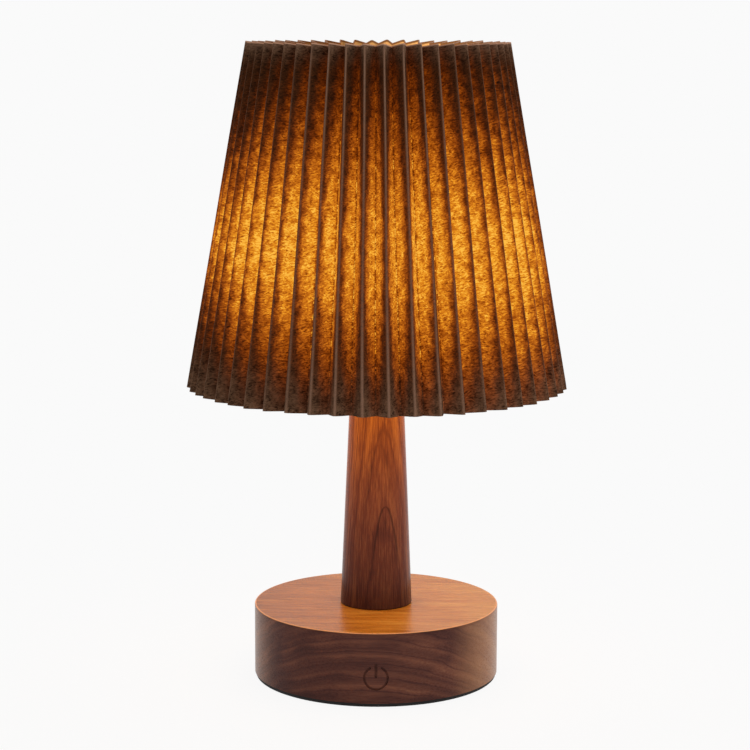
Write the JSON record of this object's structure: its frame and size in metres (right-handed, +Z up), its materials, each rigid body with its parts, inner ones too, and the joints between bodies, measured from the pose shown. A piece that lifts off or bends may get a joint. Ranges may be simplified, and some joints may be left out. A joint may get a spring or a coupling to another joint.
{
  "type": "cordless desk lamp",
  "caption": "Cordless table lamp with a turned walnut base and tapered stem, touch spot, charging socket and a round pleated paper shade that turns and lifts off.",
  "frame": {"origin": "centre of the underside, on the surface that the lamp stands on", "axes": "+Z up along the stem, -Y towards the power symbol at the front, +X to the right seen from the front"},
  "size_m": [0.1544, 0.1542, 0.2587],
  "materials": {
    "walnut": "turned walnut, satin lacquer",
    "foot_pad": "matt black rubber",
    "cover_plastic": "moulded, fine texture",
    "black_steel": "blackened steel",
    "cell_wrap": "heat shrink sleeve",
    "nickel": "nickel plated",
    "wire_insulation": "smooth insulation",
    "circuit_board": "solder mask",
    "board_parts": "moulded component bodies",
    "steel": "zinc plated steel",
    "bezel_plastic": "moulded, matt",
    "light_guide": "clear moulded",
    "copper": "bare copper foil",
    "holder_plastic": "white moulded",
    "light_board": "white solder mask",
    "light_chips": "phosphor faced",
    "frosted_plastic": "frosted, lit from inside",
    "nylon": "natural nylon",
    "painted_wire": "white powder coat",
    "shade_paper": "pleated fibrous brown paper, lit from inside"
  },
  "bodies": {
    "lamp": {"base_body": "walnut", "base_plate": "cover_plastic", "foot_pad": "foot_pad", "plate_screws": "black_steel", "battery_cell": "cell_wrap", "battery_cradle": "cover_plastic", "battery_tabs": "nickel", "battery_leads": "wire_insulation", "main_board": "circuit_board", "board_parts": "board_parts", "board_screws": "steel", "usb_c_port": "nickel", "port_bezel": "bezel_plastic", "charge_light": "light_guide", "touch_pad": "copper", "touch_lead": "wire_insulation", "stem": "walnut", "threaded_tube": "steel", "base_washer": "steel", "base_nut": "steel", "led_leads": "wire_insulation", "lamp_holder": "holder_plastic", "led_board": "light_board", "led_chips": "light_chips", "diffuser": "frosted_plastic"},
    "swivel": {"seat_washer": "nylon"},
    "shade": {"shade_collar": "holder_plastic", "shade_spider": "painted_wire", "shade_paper": "shade_paper", "top_ring": "painted_wire", "bottom_ring": "painted_wire"},
    "clamp": {"clamp_washer": "nylon"},
    "nut": {"shade_ring_nut": "holder_plastic"}
  },
  "joints": [
    {"name": "shade_swivel", "type": "hinge", "parent": "lamp", "child": "swivel", "pos_m": [0, 0, 0.149], "axis": [0, 0, 1], "continuous": true},
    {"name": "shade_lift", "type": "slide", "parent": "swivel", "child": "shade", "axis": [0, 0, 1], "range_m": [0, 0.085]},
    {"name": "nut_travel", "type": "slide", "parent": "shade", "child": "clamp", "axis": [0, 0, 1], "range_m": [0, 0.00605]},
    {"name": "nut_turn", "type": "hinge", "parent": "clamp", "child": "nut", "pos_m": [0, 0, 0.155], "axis": [0, 0, 1], "range_deg": [0, 1080]}
  ],
  "couplings": [
    {"joint": "nut_travel", "follows": "nut_turn", "m_per_rad": 0.00031831}
  ]
}
